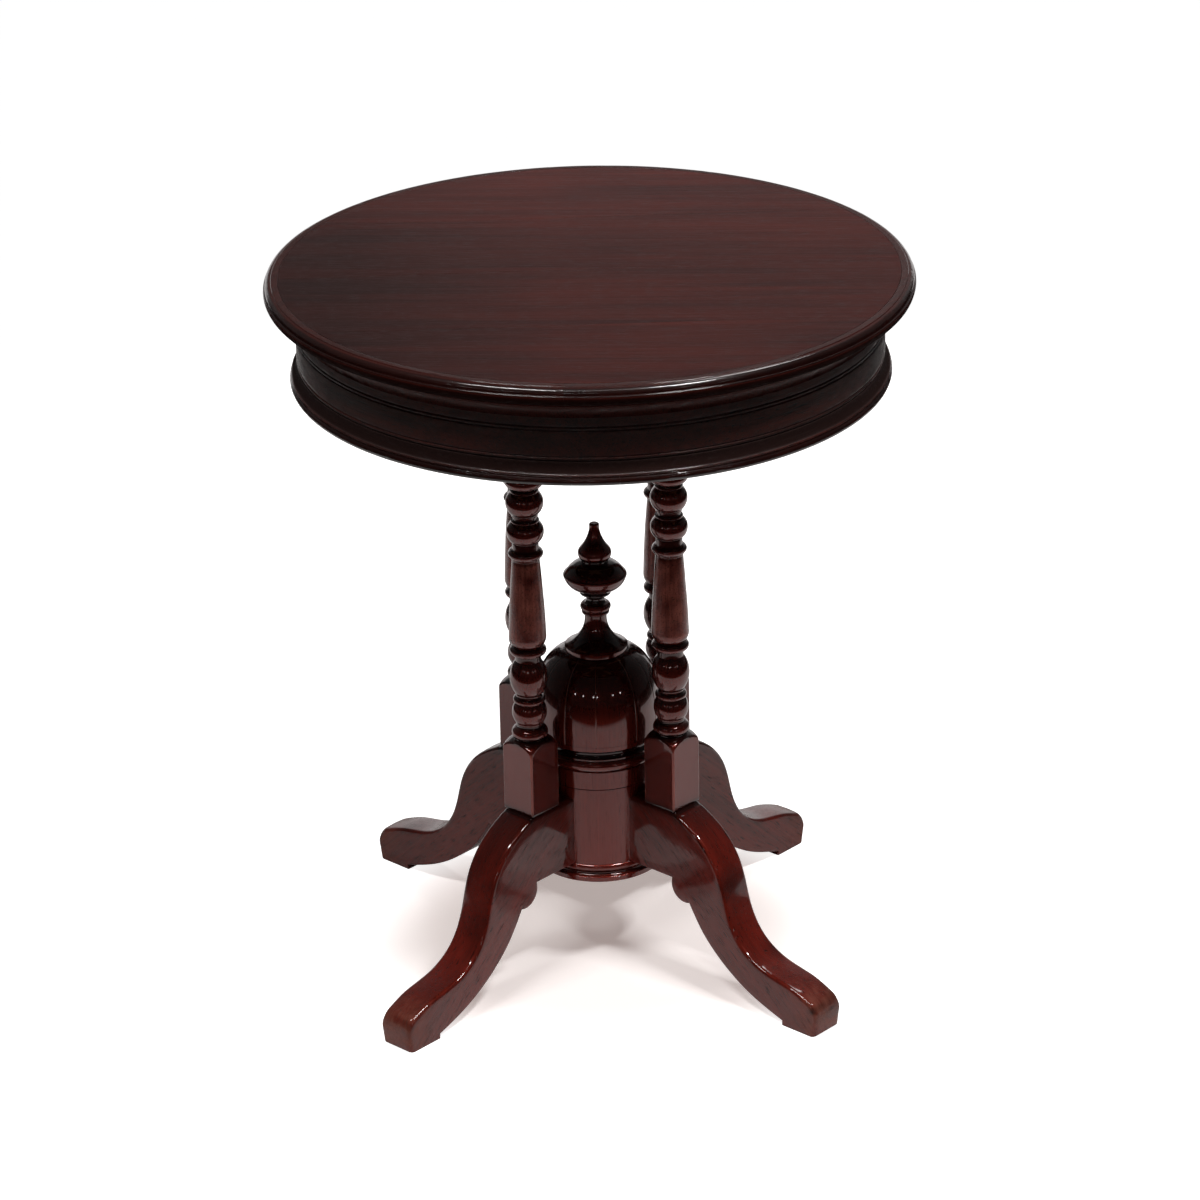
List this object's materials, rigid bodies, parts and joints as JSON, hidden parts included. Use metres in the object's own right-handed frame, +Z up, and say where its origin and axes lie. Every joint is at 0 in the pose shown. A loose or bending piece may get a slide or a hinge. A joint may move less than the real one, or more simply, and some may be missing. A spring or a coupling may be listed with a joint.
{
  "type": "round side table",
  "caption": "Round side table: a moulded boarded top on a deep moulded apron, turned columns on sabre legs, and a central newel with a dome and finial.",
  "frame": {"origin": "on the floor under the centre of the round top", "axes": "+Z up; the legs stand on the diagonals between X and Y; -Y is the front that the picture shows"},
  "size_m": [0.6102, 0.61, 0.708],
  "materials": {
    "satin_top": "stained hardwood with a satin lacquer",
    "gloss_moulding": "dark stained hardwood with a gloss lacquer",
    "open_pore_apron": "dark stained hardwood with open pores under a satin lacquer",
    "gloss_turning": "turned and dark stained hardwood with a gloss lacquer",
    "gloss_leg": "sawn and red-brown stained hardwood with a gloss lacquer",
    "bare_secondary_wood": "unfinished softwood",
    "screw_steel": "plain steel"
  },
  "bodies": {
    "root": {"top_board_1": "satin_top", "top_board_2": "satin_top", "top_board_3": "satin_top", "top_board_4": "satin_top", "rim_moulding_1": "gloss_moulding", "rim_moulding_2": "gloss_moulding", "rim_moulding_3": "gloss_moulding", "rim_moulding_4": "gloss_moulding", "apron_segment_1": "open_pore_apron", "apron_segment_2": "open_pore_apron", "apron_segment_3": "open_pore_apron", "apron_segment_4": "open_pore_apron", "cove_moulding_1": "gloss_moulding", "cove_moulding_2": "gloss_moulding", "cove_moulding_3": "gloss_moulding", "cove_moulding_4": "gloss_moulding", "bead_moulding_1": "gloss_moulding", "bead_moulding_2": "gloss_moulding", "bead_moulding_3": "gloss_moulding", "bead_moulding_4": "gloss_moulding", "apron_glue_blocks": "bare_secondary_wood", "bearer_lower": "bare_secondary_wood", "bearer_upper": "bare_secondary_wood", "top_screws": "screw_steel", "column_back_right": "gloss_turning", "column_back_left": "gloss_turning", "column_front_left": "gloss_turning", "column_front_right": "gloss_turning", "leg_back_right": "gloss_leg", "leg_back_left": "gloss_leg", "leg_front_left": "gloss_leg", "leg_front_right": "gloss_leg", "newel": "gloss_turning", "newel_base": "gloss_turning", "newel_base_screws": "screw_steel", "newel_dome": "gloss_turning", "finial": "gloss_turning"}
  },
  "joints": []
}
